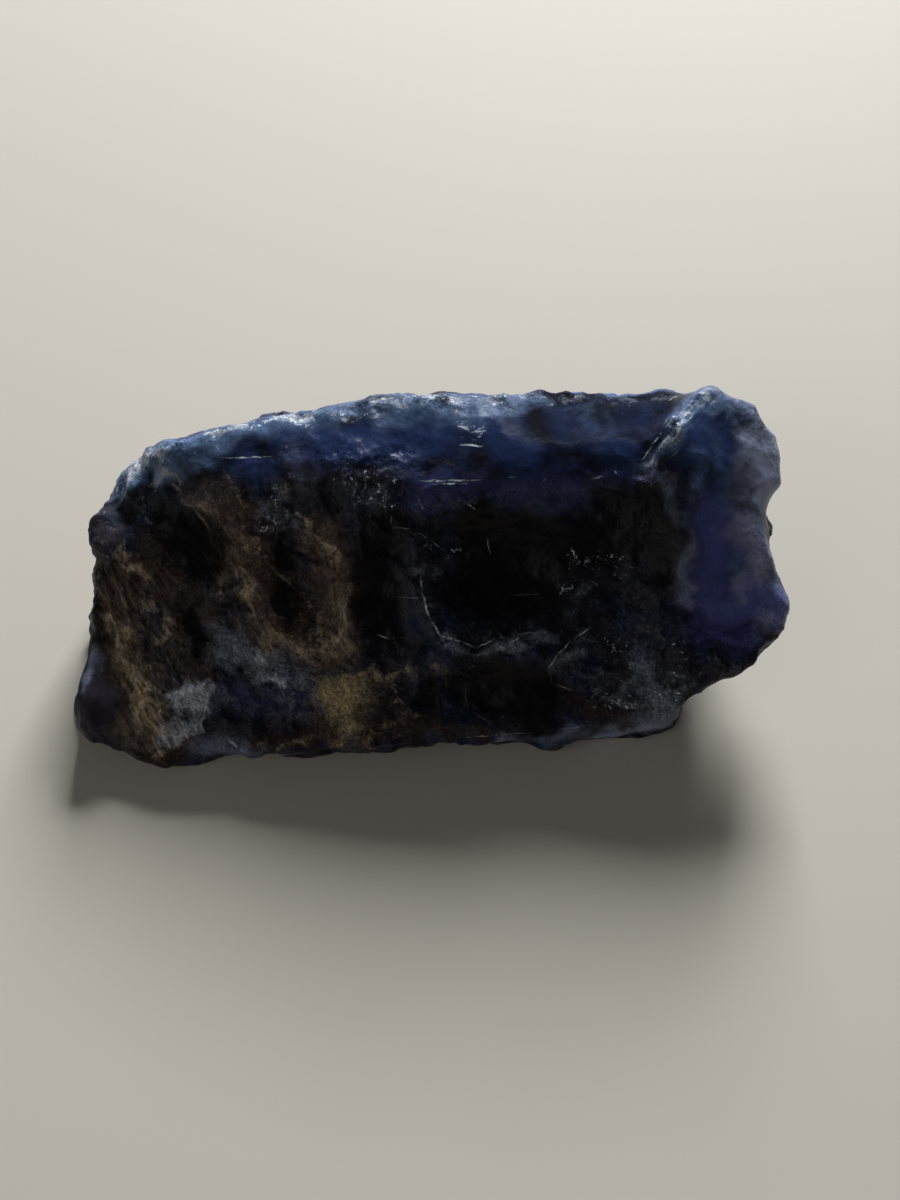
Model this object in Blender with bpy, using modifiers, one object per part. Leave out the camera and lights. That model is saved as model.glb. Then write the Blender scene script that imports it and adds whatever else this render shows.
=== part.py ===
"""A rough lapis lazuli: one broken lump of blue stone, about 60 mm long, lying on a flat broken base.

Measures are in millimetres until a mesh is made. X runs along the stone, Y to its back and Z up.
The stone is a loft of cross-sections. Hollows are struck off its sloping front face, a block and
lumps are joined on, and larger flakes are struck off the back, the ends and the base. It is then
trimmed to the outline that it shows to someone looking down on its front, and its skin is broken up
into small flakes.
"""

import math
from typing import NamedTuple

import bmesh
import bpy
import numpy as np
from mathutils import Euler, Matrix, Vector, noise

MM = 0.001
STONE_NAME = "lapis_stone"

# The line of sight that the outline is drawn across: its height above the horizon, the eye's distance
# from the point it looks at, and that point.
SIGHT_ELEVATION = math.radians(58.0)
EYE_DISTANCE = 117.0
SIGHT_POINT = Vector((1.5, -4.0, 12.0))
TRIM_REACH = 45.0

# The outline across that line of sight, clockwise from the left end's notch: right of it and above it.
OUTLINE = (
    (-29.2, 3.3), (-29.9, 4.3), (-30.2, 5.6), (-29.9, 7.0), (-28.6, 8.7), (-27.6, 10.1), (-26.6, 11.7),
    (-25.4, 12.5), (-24.5, 12.3), (-23.3, 13.2), (-21.6, 14.0), (-19.3, 14.5), (-17.7, 14.4),
    (-15.8, 15.3), (-12.8, 15.7), (-10.8, 15.7), (-9.2, 16.4), (-6.6, 17.0), (-4.1, 17.0), (-2.3, 17.0),
    (-1.1, 17.4), (0.2, 17.3), (1.6, 17.0), (5.9, 17.0), (8.2, 17.5), (10.2, 17.2), (11.5, 17.4),
    (13.3, 17.0), (16.0, 17.1), (18.0, 17.8), (19.6, 17.4), (20.9, 17.8), (21.9, 18.2), (22.5, 18.0),
    (23.2, 17.2), (25.5, 16.0), (26.4, 14.5), (27.4, 13.4), (27.9, 11.9), (27.6, 9.5), (27.0, 8.2),
    (26.4, 6.9), (26.9, 6.1), (26.8, 4.6), (27.2, 2.6), (27.8, 0.3), (28.4, -0.6), (28.4, -1.6),
    (27.6, -3.1), (26.8, -3.8), (25.8, -3.9), (25.3, -5.3), (24.7, -5.5), (24.5, -6.3), (22.0, -7.0),
    (20.5, -7.9), (19.4, -8.8), (19.2, -10.3), (17.5, -11.2), (13.3, -11.8), (9.6, -12.4), (7.4, -12.6),
    (5.9, -12.0), (3.0, -11.9), (-1.5, -12.0), (-4.3, -12.5), (-9.5, -12.7), (-12.8, -13.0),
    (-16.0, -13.5), (-21.0, -13.8), (-24.0, -13.9), (-25.8, -13.4), (-28.0, -12.4), (-30.2, -11.5),
    (-31.1, -10.4), (-31.4, -8.9), (-30.8, -7.0), (-30.0, -4.6), (-29.8, -2.6), (-30.2, -1.3),
    (-29.9, 0.4), (-29.9, 1.9),
)


class Station(NamedTuple):
    """A cross-section of the stone at one X: six points (Y, Z) round it."""
    x: float
    base_back: tuple
    back: tuple
    back_top: tuple
    crest: tuple
    toe: tuple
    base_front: tuple


# From the left end to the right.
STATIONS = (
    Station(-31.4, (0.0, 2.6), (2.2, 4.6), (2.4, 7.6), (0.6, 7.6), (-12.4, 3.2), (-11.6, 1.6)),
    Station(-29.2, (4.4, 0.0), (8.0, 4.6), (7.0, 11.0), (3.0, 11.0), (-13.9, 2.6), (-12.6, 0.0)),
    Station(-25.6, (8.2, 0.0), (12.0, 6.2), (11.0, 15.2), (6.6, 14.8), (-15.2, 2.2), (-13.8, 0.0)),
    Station(-20.0, (9.2, 0.0), (14.2, 7.0), (11.6, 17.4), (7.4, 17.4), (-15.8, 2.4), (-13.6, 0.0)),
    Station(-13.0, (11.4, 0.0), (14.0, 9.0), (12.6, 18.6), (6.6, 18.8), (-15.2, 3.3), (-12.2, 0.0)),
    Station(-6.0, (12.0, 0.0), (15.0, 7.0), (13.6, 19.0), (4.8, 19.3), (-14.4, 3.9), (-12.6, 0.0)),
    Station(1.5, (11.2, 0.0), (15.8, 5.4), (13.8, 19.7), (3.8, 19.6), (-13.6, 4.2), (-11.4, 0.0)),
    Station(9.0, (9.4, 0.0), (15.2, 7.4), (13.4, 20.5), (3.9, 19.9), (-11.9, 5.4), (-14.0, 0.0)),
    Station(15.0, (9.8, 0.0), (13.8, 9.0), (13.4, 20.5), (4.1, 19.9), (-11.4, 5.9), (-13.6, 0.0)),
    Station(20.6, (8.0, 0.0), (12.6, 8.0), (13.2, 20.1), (4.0, 19.2), (-10.4, 6.2), (-12.0, 0.0)),
    Station(23.4, (6.0, 3.8), (10.6, 9.0), (10.6, 18.8), (3.4, 18.2), (-8.4, 7.4), (-6.0, 4.4)),
    Station(27.4, (4.0, 8.0), (7.6, 10.4), (8.4, 15.8), (3.4, 15.8), (-4.4, 9.8), (-1.0, 8.2)),
)
# How far the crown of the top and the middle of the front stand out from straight.
TOP_CROWN = 0.5
FRONT_BULGE = 0.5
# The shares of the way down the front at which the section has a point.
FRONT_SHARES = (0.06, 0.25, 0.5, 0.75)
# How much of the top's width is left flat before it rounds over the crest.
TOP_SHARES = (0.45, 0.85)


class Hollow(NamedTuple):
    """A shallow flake struck off the front: X, the share of the way down, half sizes, depth and turn."""
    x: float
    down: float
    half_length: float
    half_height: float
    depth: float
    turn: float


HOLLOWS = (
    Hollow(9.6, 0.36, 11.6, 6.9, 2.7, -6),
    Hollow(4.8, 0.84, 7.6, 3.0, 1.2, 0),
    Hollow(-20.2, 0.26, 5.2, 3.6, 0.9, -28),
    Hollow(-11.4, 0.38, 3.0, 5.8, 0.9, 14),
    Hollow(-12.8, 0.84, 6.0, 3.0, 0.9, 0),
    Hollow(-20.4, 0.95, 3.8, 2.4, 0.9, 12),
    Hollow(15.6, 0.73, 5.0, 3.6, 1.0, 20),
    Hollow(-4.2, 0.47, 4.0, 5.6, 0.8, 0),
)
HOLLOW_RADIUS = 6.0

# The block that stands proud at the right end: its corners.
BLOCK_CORNERS = (
    (15.8, 4.8, 19.4), (17.4, 3.8, 21.0), (19.8, 7.6, 22.4), (22.6, 11.8, 22.8), (20.8, 12.6, 20.0),
    (24.4, 12.4, 22.6), (29.0, 10.0, 19.6), (30.4, 7.2, 17.2), (25.0, -0.6, 17.2), (30.2, 1.2, 14.2),
    (33.4, -4.4, 11.0), (29.6, -8.4, 8.0), (18.6, 0.2, 17.4), (19.6, -3.4, 13.9), (20.6, -6.5, 10.7),
    (21.6, -9.4, 8.0), (21.2, -10.8, 6.4), (24.4, -10.0, 6.4), (17.4, 4.2, 12.0), (20.0, 10.4, 9.0),
    (27.4, 8.0, 9.4), (21.0, -3.0, 5.0), (26.4, -3.0, 6.4),
)

# Lumps joined on at the left end: centre and radii.
LUMPS = (
    ((-29.5, -8.8, 3.1), (3.1, 4.6, 3.9)),
    ((-28.2, 2.9, 8.6), (3.4, 3.7, 4.9)),
)

# Large flakes struck off the back, the base and the ends: centre, radii and tilt in degrees.
FLAKES = (
    ((-17.0, 22.0, 12.0), (12.0, 10.0, 10.0), (10, 0, 12)),
    ((-1.0, 24.6, 13.6), (9.0, 11.6, 8.0), (0, 20, -8)),
    ((7.0, 22.4, 3.0), (13.0, 10.6, 7.0), (-14, 0, -6)),
    ((-9.0, 21.0, -1.0), (10.0, 9.0, 7.0), (-20, 0, 10)),
    ((18.0, 22.6, 14.0), (8.0, 10.6, 8.0), (0, 20, 0)),
    ((-6.0, 3.4, -7.6), (15.0, 5.4, 10.0), (0, 0, 24)),
    ((-18.0, -6.0, -8.2), (8.0, 5.0, 10.0), (0, 0, -15)),
    ((12.0, -2.4, -8.4), (6.5, 5.0, 10.0), (0, 0, 60)),
    ((5.0, 15.0, -5.0), (8.0, 9.0, 7.6), (0, 0, 10)),
    ((-12.0, -17.6, -0.4), (7.0, 5.4, 2.6), (0, 0, -4)),
    ((3.5, -16.8, 0.2), (5.0, 4.6, 3.0), (0, 0, 6)),
    ((-26.0, 10.0, -4.4), (8.0, 9.0, 7.0), (0, 0, 30)),
    ((31.5, 3.5, 2.2), (8.6, 14.0, 8.0), (0, 26, 0)),
)
BALL_SEGMENTS = 48

# The voxels that weld the stone into one skin, and how often that is smoothed after each weld.
VOXEL = 0.42
SMOOTHING_AFTER_CUTS = 1
SMOOTHING_AFTER_TRIM = 0


class Chips(NamedTuple):
    """One size of small flakes: their width, how deep they bite, how they tilt and how their levels differ."""
    width: float
    depth: float
    tilt: float
    step: float


LARGE_CHIPS = Chips(7.5, 0.9, 1.6, 1.0)
SMALL_CHIPS = Chips(3.0, 0.34, 1.4, 0.9)
CHIP_RADIUS = 0.6
CHIP_MEAN = 0.3
CHIP_TOP = 0.8
BEND_SEED = 3
BEND_WIDTH = 6.0
BEND = 0.6
SWELL_WIDTH = 10.0
SWELL = 0.3

# The front, the top and the block's face are smoother than the rest, the lumps are rounded, and the base
# is flat.
FRONT_CALM = 0.4
TOP_CALM = 0.4
LUMP_CALM = 0.6
BASE_CALM_HEIGHT = 1.2
BASE_CUT = 0.7

# The left end splits into fibres that run down it: their direction, width, length, depth and reach.
FIBRE_DIRECTION = Vector((0.42, -0.62, -0.66)).normalized()
FIBRE_WIDTH = 2.1
FIBRE_LENGTH = 9.0
FIBRE_DEPTH = 0.7
FIBRE_START = -25.0
FIBRE_FADE = 3.0

FACES_KEPT = 9000
SHARP_ANGLE = math.radians(35)


def collection_named(name):
    """A new collection in the scene."""
    collection = bpy.data.collections.new(name)
    bpy.context.scene.collection.children.link(collection)
    return collection


def clear_scene():
    """Removes every object that the scene starts with."""
    for thing in list(bpy.data.objects):
        bpy.data.objects.remove(thing)


def mesh_object(name, form, collection):
    """An object in metres from a bmesh in millimetres, with its faces turned outwards."""
    bmesh.ops.scale(form, vec=(MM, MM, MM), verts=form.verts)
    bmesh.ops.recalc_face_normals(form, faces=form.faces)
    mesh = bpy.data.meshes.new(name)
    form.to_mesh(mesh)
    form.free()
    thing = bpy.data.objects.new(name, mesh)
    collection.objects.link(thing)
    return thing


def as_helper(thing):
    """Marks an object as a cutter or a guide that is no part of the stone."""
    thing.hide_render = True
    thing.display_type = "WIRE"
    return thing


def bridged(rings):
    """A closed bmesh through rings of points, each with as many points as the next."""
    form = bmesh.new()
    loops = [[form.verts.new(point) for point in ring] for ring in rings]
    for near, far in zip(loops, loops[1:]):
        for i in range(len(near)):
            j = (i + 1) % len(near)
            form.faces.new((near[i], near[j], far[j], far[i]))
    form.faces.new(reversed(loops[0]))
    form.faces.new(loops[-1])
    bmesh.ops.triangulate(form, faces=form.faces)
    return form


def between(start, end, share, proud):
    """The point at a share of the way from start to end, and proud of that line in the middle."""
    along = Vector(end) - Vector(start)
    outwards = Vector((-along.y, along.x)).normalized()
    return Vector(start) + along * share + outwards * proud * 4 * share * (1 - share)


def section_ring(station):
    """The ring of points round one cross-section."""
    top = [between(station.back_top, station.crest, share, -TOP_CROWN) for share in TOP_SHARES]
    front = [between(station.crest, station.toe, share, -FRONT_BULGE) for share in FRONT_SHARES]
    ring = [station.base_back, station.back, station.back_top, *top, *front, station.toe, station.base_front]
    return [(station.x, y, z) for y, z in ring]


def main_body(collection):
    """The loft through the cross-sections."""
    return mesh_object(STONE_NAME, bridged([section_ring(station) for station in STATIONS]), collection)


def sight_frame():
    """The directions right, up and towards the eye across the line of sight."""
    right = Vector((1, 0, 0))
    towards = Vector((0, -math.cos(SIGHT_ELEVATION), math.sin(SIGHT_ELEVATION)))
    return right, towards.cross(right), towards


def outline_ring(depth):
    """The outline as the eye sees it, carried to a depth towards the eye."""
    right, up, towards = sight_frame()
    spread = (EYE_DISTANCE - depth) / EYE_DISTANCE
    return [SIGHT_POINT + right * (u * spread) + up * (v * spread) + towards * depth for u, v in OUTLINE]


def trimming_cone(collection):
    """The cone from the eye through the outline, which the stone must not pass."""
    rings = [outline_ring(depth) for depth in (-TRIM_REACH, TRIM_REACH)]
    return as_helper(mesh_object("trimming_cone", bridged(rings), collection))


def ball(name, centre, radii, turn, collection):
    """A ball stretched to its three radii and turned."""
    form = bmesh.new()
    bmesh.ops.create_uvsphere(form, u_segments=BALL_SEGMENTS, v_segments=BALL_SEGMENTS // 2, radius=1)
    place = Matrix.Translation(centre) @ turn.to_4x4() @ Matrix.Diagonal((*radii, 1))
    bmesh.ops.transform(form, matrix=place, verts=form.verts)
    return as_helper(mesh_object(name, form, collection))


def front_edges(x):
    """The crest and the toe of the sloping front at an X, between the stations."""
    places = [station.x for station in STATIONS]
    edges = [station.crest + station.toe for station in STATIONS]
    values = [float(np.interp(x, places, row)) for row in zip(*edges)]
    return Vector(values[:2]), Vector(values[2:])


def front_turn(x):
    """The turn from level to the sloping front at an X, whose Z then points out of the face."""
    crest, toe = front_edges(x)
    slope = crest - toe
    return Matrix.Rotation(math.atan2(slope.y, slope.x), 3, "X")


def hollow_ball(name, hollow, collection):
    """The ball that strikes one hollow off the front, as wide at the face as the hollow asks."""
    turn = front_turn(hollow.x)
    y, z = between(*front_edges(hollow.x), hollow.down, -FRONT_BULGE)
    place = Vector((hollow.x, y, z)) + turn @ Vector((0, 0, HOLLOW_RADIUS - hollow.depth))
    widening = 1 / math.sqrt(1 - (1 - hollow.depth / HOLLOW_RADIUS) ** 2)
    radii = (hollow.half_length * widening, hollow.half_height * widening, HOLLOW_RADIUS)
    return ball(name, place, radii, turn @ Matrix.Rotation(math.radians(hollow.turn), 3, "Z"), collection)


def flake_ball(name, flake, collection):
    """The ball that strikes one large flake off."""
    centre, radii, tilt = flake
    return ball(name, centre, radii, Euler([math.radians(angle) for angle in tilt]).to_matrix(), collection)


def right_block(collection):
    """The hull of the proud block's corners."""
    form = bmesh.new()
    corners = [form.verts.new(corner) for corner in BLOCK_CORNERS]
    hull = bmesh.ops.convex_hull(form, input=corners)
    inside = set(hull["geom_interior"]) | set(hull["geom_unused"])
    bmesh.ops.delete(form, geom=[item for item in inside if isinstance(item, bmesh.types.BMVert)])
    return as_helper(mesh_object("right_block", form, collection))


def add_boolean(stone, cutter, operation, solver="EXACT"):
    """Joins, cuts or trims the stone with another closed shape."""
    step = stone.modifiers.new(cutter.name, "BOOLEAN")
    step.operation = operation
    step.solver = solver
    step.object = cutter


def apply_modifiers(stone):
    """Replaces the mesh by what its modifiers make of it."""
    graph = bpy.context.evaluated_depsgraph_get()
    made = bpy.data.meshes.new_from_object(stone.evaluated_get(graph))
    stone.modifiers.clear()
    stone.data = made


def weld_into_one_skin(stone, smoothing):
    """Applies the joins and cuts and rebuilds the surface as one even skin of small faces."""
    skin = stone.modifiers.new("skin", "REMESH")
    skin.mode = "VOXEL"
    skin.voxel_size = VOXEL * MM
    skin.adaptivity = 0
    smooth = stone.modifiers.new("smooth", "SMOOTH")
    smooth.factor = 0.5
    smooth.iterations = smoothing
    apply_modifiers(stone)


def ease(value, low, high):
    """Rises smoothly from 0 at low to 1 at high."""
    share = min(max((value - low) / (high - low), 0.0), 1.0)
    return share * share * (3 - 2 * share)


def chip_depth(point, chips):
    """How far out the skin stands where each small flake has left a shallow bowl, tilted its own way."""
    place = point / chips.width
    _, seeds = noise.voronoi(place)
    bowls = []
    for seed in seeds:
        away = place - seed
        tilt = noise.cell_vector(seed * 7.31)
        level = noise.cell(seed * 3.17) - 0.5
        bowls.append(away.length_squared / CHIP_RADIUS ** 2 + chips.tilt * tilt.dot(away) + chips.step * level)
    return chips.depth * (min(*bowls, CHIP_TOP) - CHIP_MEAN)


def fibre_depth(point):
    """How far out the fibres of the left end stand."""
    along = point.dot(FIBRE_DIRECTION)
    across = point - FIBRE_DIRECTION * along
    ridge = noise.noise(across / FIBRE_WIDTH + FIBRE_DIRECTION * (along / FIBRE_LENGTH))
    return FIBRE_DEPTH * (abs(ridge) * 2 - 0.5) * ease(-point.x, -FIBRE_START - FIBRE_FADE, -FIBRE_START)


def liveliness(point, normal):
    """How broken the skin is at a point: less on the front, the top and the lumps, not at all on the base."""
    front_normal = front_turn(point.x) @ Vector((0, 0, 1))
    lively = 1 - (1 - FRONT_CALM) * ease(normal.dot(front_normal), 0.72, 0.95)
    lively *= 1 - (1 - TOP_CALM) * ease(normal.z, 0.86, 0.97)
    for centre, radii in LUMPS:
        away = Vector([(here - there) / radius for here, there, radius in zip(point, centre, radii)]).length
        lively *= LUMP_CALM + (1 - LUMP_CALM) * ease(away, 1.0, 1.3)
    base = ease(-normal.z, 0.5, 0.9) * (1 - ease(point.z, 0, BASE_CALM_HEIGHT))
    return lively * (1 - base)


def large_relief(point, normal):
    """The swell, the large chips and the fibres at a point of the skin."""
    broken = chip_depth(point, LARGE_CHIPS) + fibre_depth(point)
    return liveliness(point, normal) * broken + SWELL * noise.noise(point / SWELL_WIDTH)


def small_relief(point, normal):
    """The small chips at a point of the skin."""
    return liveliness(point, normal) * chip_depth(point, SMALL_CHIPS)


def bend(stone):
    """Bends the skin sideways a little, so that no edge runs true."""
    noise.seed_set(BEND_SEED)
    for vert in stone.data.vertices:
        move = BEND * noise.noise_vector(vert.co / MM / BEND_WIDTH)
        move.z *= ease(vert.co.z / MM, 0, BASE_CALM_HEIGHT)
        vert.co += move * MM


def roughen(stone, relief):
    """Moves each point of the skin out by the relief there."""
    form = bmesh.new()
    form.from_mesh(stone.data)
    form.normal_update()
    moves = [vert.normal * relief(vert.co / MM, vert.normal) * MM for vert in form.verts]
    for vert, move in zip(form.verts, moves):
        vert.co += move
    form.to_mesh(stone.data)
    form.free()


def keep_fewer_faces(stone):
    """Leaves the large forms in few enough faces."""
    step = stone.modifiers.new("fewer_faces", "DECIMATE")
    step.use_collapse_triangulate = True
    step.ratio = FACES_KEPT / (2 * len(stone.data.polygons))
    apply_modifiers(stone)


def break_flat_base(stone):
    """Cuts the base flat, fills the cut and sets the stone's box on the origin."""
    form = bmesh.new()
    form.from_mesh(stone.data)
    everything = form.verts[:] + form.edges[:] + form.faces[:]
    cut = bmesh.ops.bisect_plane(form, geom=everything, dist=1e-7, plane_co=(0, 0, BASE_CUT * MM),
                                 plane_no=(0, 0, 1), clear_inner=True)
    rim = [item for item in cut["geom_cut"] if isinstance(item, bmesh.types.BMEdge)]
    bmesh.ops.triangle_fill(form, edges=rim, use_beauty=True, use_dissolve=False)
    bmesh.ops.recalc_face_normals(form, faces=form.faces)
    lowest = [min(vert.co[i] for vert in form.verts) for i in range(3)]
    highest = [max(vert.co[i] for vert in form.verts) for i in range(3)]
    middle = [(low + high) / 2 for low, high in zip(lowest, highest)]
    bmesh.ops.translate(form, vec=(-middle[0], -middle[1], -lowest[2]), verts=form.verts)
    form.to_mesh(stone.data)
    form.free()


def stone_material():
    """Deep blue, waxy stone."""
    material = bpy.data.materials.new("lapis")
    material.use_nodes = True
    shader = material.node_tree.nodes["Principled BSDF"]
    shader.inputs["Base Color"].default_value = (0.018, 0.028, 0.105, 1)
    shader.inputs["Roughness"].default_value = 0.38
    shader.inputs["Metallic"].default_value = 0.0
    return material


def build():
    """Makes the stone."""
    clear_scene()
    parts = collection_named("rough_lapis_lazuli")
    helpers = collection_named("helpers")
    stone = main_body(parts)
    add_boolean(stone, right_block(helpers), "UNION")
    for i, hollow in enumerate(HOLLOWS):
        add_boolean(stone, hollow_ball(f"hollow_{i}", hollow, helpers), "DIFFERENCE")
    for i, (centre, radii) in enumerate(LUMPS):
        add_boolean(stone, ball(f"lump_{i}", centre, radii, Matrix.Identity(3), helpers), "UNION")
    for i, flake in enumerate(FLAKES):
        add_boolean(stone, flake_ball(f"flake_{i}", flake, helpers), "DIFFERENCE")
    weld_into_one_skin(stone, SMOOTHING_AFTER_CUTS)
    bend(stone)
    roughen(stone, large_relief)
    add_boolean(stone, trimming_cone(helpers), "INTERSECT", solver="MANIFOLD")
    weld_into_one_skin(stone, SMOOTHING_AFTER_TRIM)
    roughen(stone, small_relief)
    keep_fewer_faces(stone)
    break_flat_base(stone)
    stone.data.materials.clear()
    stone.data.materials.append(stone_material())
    stone.data.shade_smooth()
    stone.data.set_sharp_from_angle(angle=SHARP_ANGLE)


build()
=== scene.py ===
"""The looks of the rough lapis lazuli: its broken, waxy skin, its colours and veins, the light and the view.

The stone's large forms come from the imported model. Here they get a finer skin of small flakes, fibres,
ridges and steps, and a material of deep blue with brown matrix and pale bruised edges. What is placed
on its front is given by pixels of the photograph, and lies where the sight line through a pixel meets
the stone. Measures are in millimetres until a mesh or an object is made.
"""

import math
from typing import NamedTuple

import bpy
import numpy as np
from mathutils import Matrix, Vector, kdtree, noise
from mathutils.bvhtree import BVHTree


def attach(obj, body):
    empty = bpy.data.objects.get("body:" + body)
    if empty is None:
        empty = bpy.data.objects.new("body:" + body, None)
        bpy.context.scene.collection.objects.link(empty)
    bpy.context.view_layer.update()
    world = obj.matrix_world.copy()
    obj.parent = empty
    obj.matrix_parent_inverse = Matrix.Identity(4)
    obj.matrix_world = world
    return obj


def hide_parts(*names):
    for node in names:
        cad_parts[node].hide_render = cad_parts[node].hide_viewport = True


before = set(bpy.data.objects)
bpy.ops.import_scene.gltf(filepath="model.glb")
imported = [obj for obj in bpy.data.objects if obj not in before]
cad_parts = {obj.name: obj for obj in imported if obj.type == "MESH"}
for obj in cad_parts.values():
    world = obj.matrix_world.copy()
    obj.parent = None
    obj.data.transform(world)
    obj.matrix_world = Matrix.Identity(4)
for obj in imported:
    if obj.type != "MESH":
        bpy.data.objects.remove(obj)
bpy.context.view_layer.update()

MM = 0.001
NODE = "lapis_stone"
PIECE = "rough_lapis_skin"

# The photograph's view: where it looks, how high it stands, its distance and its scale there.
PHOTO_CENTRE = (450, 600)
PHOTO_LONG_SIDE = 1200
PIXELS_PER_MM = 12.0
LOOK_AT = Vector((2.392, -4.337, 11.3))
SIGHT_ELEVATION = math.radians(58.0)
EYE_DISTANCE = 117.0
SENSOR = 36.0
NEAREST_SEEN = 5.0

# The finer skin: the size of its faces, and how it is smoothed before it is broken.
VOXEL = 0.268
SKIN_ROUNDS = 3
SKIN_RATE = 0.5


class Chips(NamedTuple):
    """One size of small flakes: their width, how deep they bite, their tilt, and how their levels differ."""
    width: float
    depth: float
    tilt: float
    step: float


# The two sizes of flakes, and how far the smaller ones are moved aside.
FINE_CHIPS = Chips(1.7, 0.2, 1.5, 1.0)
GRAIN_CHIPS = Chips(0.8, 0.055, 1.4, 0.8)
GRAIN_SHIFT = Vector((9.3, 1.7, 4.1))
# The bowls: their radius in widths, and their mean and greatest height.
CHIP_RADIUS = 0.6
CHIP_MEAN = 0.3
CHIP_TOP = 0.8
# What a flake's seed is multiplied by to draw its tilt and its level.
TILT_DRAW = 7.31
LEVEL_DRAW = 3.17
# How much more the grain bites where the rock crumbles, and how much less the chips do among fibres.
CRUMBLING = 2.0
FIBRES_FOR_CHIPS = 0.5
# The heights above the floor between which the relief sets in.
BASE_FADE = (0.1, 0.9)

# Calm places: the share of the relief that stays, and how often and how far the skin is rubbed there.
CALM_SHARE = 0.16
CALM_ROUNDS = 60
CALM_RATE = 0.6

# Worn edges: how the skin is smoothed to find them, how far a full edge stands out of it, and the most
# that an edge counts.
EDGE_ROUNDS = 6
EDGE_RATE = 0.5
EDGE_HEIGHT = 0.09
EDGE_MOST = 1.5

FIBRE_DIRECTION = Vector((0.42, -0.62, -0.66)).normalized()
FIBRE_WIDTH = 0.65
FIBRE_LENGTH = 5.0
FIBRE_DEPTH = 0.92
FIBRE_MEAN = 0.25


class Mark(NamedTuple):
    """Something on the stone's front: the photograph's pixels that it runs through, how far it reaches
    on either side in millimetres, and how strong it is."""
    pixels: tuple
    reach: float
    strength: float = 1.0


# What lies where on the stone's front: the marks of each field.
MARKS = {}
# Beige fibrous matrix between the dark ovals.
MARKS["vein"] = (
    Mark(((160, 462), (178, 486), (200, 508), (216, 530)), 0.5, 0.95),
    Mark(((206, 505), (218, 532), (230, 560)), 1.4, 0.95),
    Mark(((216, 534), (229, 554)), 2.0),
    Mark(((236, 534), (252, 544)), 1.3, 0.85),
    Mark(((218, 562), (226, 588)), 1.2, 0.7),
    Mark(((222, 470), (236, 490), (246, 510)), 0.5, 0.7),
    Mark(((232, 556), (244, 588), (254, 618)), 1.0),
    Mark(((262, 640), (300, 650), (338, 642)), 1.5, 0.8),
    Mark(((300, 512), (320, 534), (337, 560), (346, 592), (342, 620), (336, 646)), 0.6, 0.95),
    Mark(((316, 618), (318, 642)), 1.2, 0.8),
    Mark(((312, 536), (336, 574)), 1.2, 0.6),
    Mark(((240, 560), (258, 545), (272, 515), (284, 480), (286, 450)), 1.1, 0.5),
    Mark(((262, 562), (280, 574), (302, 590), (312, 612)), 0.5, 0.75),
    Mark(((116, 544), (129, 558), (145, 574)), 1.1),
    Mark(((146, 594), (157, 612), (168, 636)), 1.2, 0.9),
    Mark(((350, 678), (390, 674), (434, 670)), 0.8, 0.8),
    Mark(((390, 682), (402, 706), (422, 716)), 0.5, 0.7),
    Mark(((134, 672), (150, 710), (160, 745)), 1.8),
    Mark(((108, 624), (122, 645), (134, 672)), 1.6),
    Mark(((255, 747), (330, 744), (395, 738)), 1.0, 0.72),
    Mark(((250, 610), (285, 612), (300, 622)), 0.4, 0.7),
)
# A thin beige veil round the matrix.
MARKS["veil"] = (
    Mark(((200, 500), (236, 555), (258, 630)), 2.4, 0.9),
    Mark(((318, 540), (338, 590), (336, 645)), 2.0, 0.9),
    Mark(((262, 640), (300, 655), (338, 650)), 2.0, 0.9),
    Mark(((118, 562), (150, 588)), 1.1, 0.7),
    Mark(((345, 684), (400, 676), (445, 672)), 1.2, 0.8),
    Mark(((325, 690), (350, 735)), 3.0, 0.8),
    Mark(((118, 725), (150, 736)), 1.6, 0.9),
    Mark(((118, 640), (145, 680), (165, 740)), 2.4, 0.9),
    Mark(((118, 600), (140, 610)), 1.6, 0.5),
    Mark(((224, 478), (238, 530)), 1.2, 0.7),
    Mark(((180, 640), (215, 655)), 1.6, 0.5),
)
# Brown schist and stained hollows.
MARKS["brown"] = (
    Mark(((235, 520), (262, 560), (300, 640), (335, 560)), 3.6, 0.9),
    Mark(((108, 575), (120, 640), (145, 720), (160, 750)), 3.4),
    Mark(((150, 560), (200, 620), (195, 655)), 3.0),
    Mark(((325, 540), (335, 650)), 2.4),
    Mark(((255, 745), (300, 740), (440, 730)), 1.8, 0.8),
    Mark(((380, 700), (420, 722), (480, 735)), 1.6, 0.7),
    Mark(((90, 520), (100, 540)), 1.8, 0.7),
    Mark(((735, 655), (715, 675), (700, 690)), 1.4, 0.5),
    Mark(((385, 560), (400, 600)), 1.8, 0.5),
    Mark(((575, 702), (600, 712), (628, 722)), 1.6, 0.7),
)
# Sandy patches.
MARKS["tan"] = (
    Mark(((334, 695), (353, 698)), 2.3),
    Mark(((335, 718), (352, 728)), 1.3, 0.8),
    Mark(((140, 686), (152, 715)), 1.3, 0.9),
    Mark(((226, 552), (238, 580)), 0.9, 0.6),
    Mark(((138, 578), (150, 583)), 0.6, 0.7),
    Mark(((262, 640), (272, 648)), 0.9, 0.6),
)
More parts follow.
